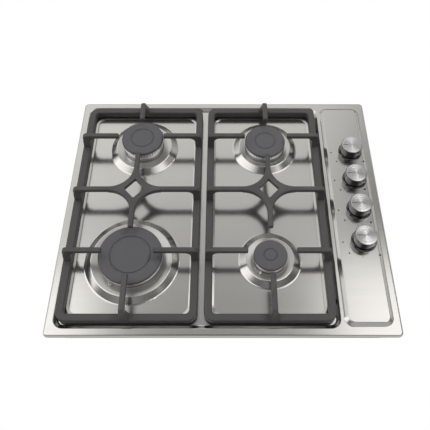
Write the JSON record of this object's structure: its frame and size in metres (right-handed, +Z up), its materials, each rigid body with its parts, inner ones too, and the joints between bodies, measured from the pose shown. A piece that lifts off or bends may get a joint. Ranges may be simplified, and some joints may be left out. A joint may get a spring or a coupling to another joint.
{
  "type": "built-in gas cooktop",
  "caption": "Built-in gas cooktop: pressed steel plate, cast pan supports, lift-off burners, push-and-turn knobs and gas taps over a base pan.",
  "frame": {"origin": "middle of the hob on the worktop surface, under the foam seal", "axes": "+X to the right with the knobs, +Y to the back, +Z up"},
  "size_m": [0.58, 0.5, 0.091],
  "materials": {
    "stainless_plate": "brushed along the width, polished burner seats",
    "matt_enamel": "matt dark grey enamel",
    "cap_enamel": "matt dark grey enamel, smooth",
    "rubber_feet": "matt",
    "seal_foam": "closed-cell foam",
    "spreader_aluminium": "machined",
    "cast_cup": "as cast",
    "ceramic": "glazed ceramic with a steel pin",
    "knob_chrome": "polished",
    "knob_brushed": "circular brushing",
    "zinc_steel": "zinc plated",
    "brass": "turned",
    "pipe_aluminium": "drawn tube",
    "galvanised_pan": "galvanised, fine spangle",
    "black_plastic": "fine grain",
    "pale_plastic": "smooth"
  },
  "bodies": {
    "hob": {"top_plate": "stainless_plate", "worktop_seal": "seal_foam", "rear_left_burner_cup": "cast_cup", "rear_left_spark_electrode": "ceramic", "rear_right_burner_cup": "cast_cup", "rear_right_spark_electrode": "ceramic", "front_left_burner_cup": "cast_cup", "front_left_spark_electrode": "ceramic", "front_right_burner_cup": "cast_cup", "front_right_spark_electrode": "ceramic", "burner_screws": "zinc_steel", "injectors": "brass", "gas_tap_1": "brass", "gas_tap_2": "brass", "gas_tap_3": "brass", "gas_tap_4": "brass", "gas_tubes": "pipe_aluminium", "knob_bezels": "knob_chrome", "ignition_switches": "black_plastic", "gas_manifold": "zinc_steel", "inlet_elbow": "brass", "base_pan": "galvanised_pan", "burner_rails": "galvanised_pan", "manifold_brackets": "galvanised_pan", "worktop_clamps": "zinc_steel", "clamp_screws": "zinc_steel", "ignition_module": "black_plastic", "terminal_block": "pale_plastic", "cable_gland": "black_plastic"},
    "left_support": {"left_pan_frame": "matt_enamel", "left_pan_arms": "matt_enamel", "left_support_feet": "rubber_feet"},
    "right_support": {"right_pan_frame": "matt_enamel", "right_pan_arms": "matt_enamel", "right_support_feet": "rubber_feet"},
    "rear_left_spreader": {"rear_left_flame_spreader": "spreader_aluminium"},
    "rear_left_cap": {"rear_left_burner_cap": "cap_enamel"},
    "rear_right_spreader": {"rear_right_flame_spreader": "spreader_aluminium"},
    "rear_right_cap": {"rear_right_burner_cap": "cap_enamel"},
    "front_left_spreader": {"front_left_flame_spreader": "spreader_aluminium"},
    "front_left_cap": {"front_left_burner_cap": "cap_enamel"},
    "front_right_spreader": {"front_right_flame_spreader": "spreader_aluminium"},
    "front_right_cap": {"front_right_burner_cap": "cap_enamel"},
    "knob_1": {"knob_1": "knob_chrome", "knob_top_1": "knob_brushed", "tap_spindle_1": "zinc_steel"},
    "tap_plug_1": {"tap_plug_1": "brass"},
    "knob_2": {"knob_2": "knob_chrome", "knob_top_2": "knob_brushed", "tap_spindle_2": "zinc_steel"},
    "tap_plug_2": {"tap_plug_2": "brass"},
    "knob_3": {"knob_3": "knob_chrome", "knob_top_3": "knob_brushed", "tap_spindle_3": "zinc_steel"},
    "tap_plug_3": {"tap_plug_3": "brass"},
    "knob_4": {"knob_4": "knob_chrome", "knob_top_4": "knob_brushed", "tap_spindle_4": "zinc_steel"},
    "tap_plug_4": {"tap_plug_4": "brass"}
  },
  "joints": [
    {"name": "left_support_lift", "type": "slide", "parent": "hob", "child": "left_support", "axis": [0, 0, 1], "range_m": [0, 0.06]},
    {"name": "right_support_lift", "type": "slide", "parent": "hob", "child": "right_support", "axis": [0, 0, 1], "range_m": [0, 0.06]},
    {"name": "rear_left_spreader_lift", "type": "slide", "parent": "hob", "child": "rear_left_spreader", "axis": [0, 0, 1], "range_m": [0, 0.016]},
    {"name": "rear_left_cap_lift", "type": "slide", "parent": "rear_left_spreader", "child": "rear_left_cap", "axis": [0, 0, 1], "range_m": [0, 0.008]},
    {"name": "rear_right_spreader_lift", "type": "slide", "parent": "hob", "child": "rear_right_spreader", "axis": [0, 0, 1], "range_m": [0, 0.016]},
    {"name": "rear_right_cap_lift", "type": "slide", "parent": "rear_right_spreader", "child": "rear_right_cap", "axis": [0, 0, 1], "range_m": [0, 0.008]},
    {"name": "front_left_spreader_lift", "type": "slide", "parent": "hob", "child": "front_left_spreader", "axis": [0, 0, 1], "range_m": [0, 0.0045]},
    {"name": "front_left_cap_lift", "type": "slide", "parent": "front_left_spreader", "child": "front_left_cap", "axis": [0, 0, 1], "range_m": [0, 0.0045]},
    {"name": "front_right_spreader_lift", "type": "slide", "parent": "hob", "child": "front_right_spreader", "axis": [0, 0, 1], "range_m": [0, 0.016]},
    {"name": "front_right_cap_lift", "type": "slide", "parent": "front_right_spreader", "child": "front_right_cap", "axis": [0, 0, 1], "range_m": [0, 0.008]},
    {"name": "knob_1_turn", "type": "hinge", "parent": "hob", "child": "tap_plug_1", "pos_m": [0.247, 0.119, 0], "axis": [0, 0, 1], "range_deg": [0, 135]},
    {"name": "knob_1_push", "type": "slide", "parent": "tap_plug_1", "child": "knob_1", "axis": [0, 0, 1], "range_m": [-0.003, 0], "stiffness_N_per_m": 800, "springref_m": 0.005},
    {"name": "knob_2_turn", "type": "hinge", "parent": "hob", "child": "tap_plug_2", "pos_m": [0.247, 0.053, 0], "axis": [0, 0, 1], "range_deg": [0, 135]},
    {"name": "knob_2_push", "type": "slide", "parent": "tap_plug_2", "child": "knob_2", "axis": [0, 0, 1], "range_m": [-0.003, 0], "stiffness_N_per_m": 800, "springref_m": 0.005},
    {"name": "knob_3_turn", "type": "hinge", "parent": "hob", "child": "tap_plug_3", "pos_m": [0.247, -0.013, 0], "axis": [0, 0, 1], "range_deg": [0, 135]},
    {"name": "knob_3_push", "type": "slide", "parent": "tap_plug_3", "child": "knob_3", "axis": [0, 0, 1], "range_m": [-0.003, 0], "stiffness_N_per_m": 800, "springref_m": 0.005},
    {"name": "knob_4_turn", "type": "hinge", "parent": "hob", "child": "tap_plug_4", "pos_m": [0.247, -0.079, 0], "axis": [0, 0, 1], "range_deg": [0, 135]},
    {"name": "knob_4_push", "type": "slide", "parent": "tap_plug_4", "child": "knob_4", "axis": [0, 0, 1], "range_m": [-0.003, 0], "stiffness_N_per_m": 800, "springref_m": 0.005}
  ]
}
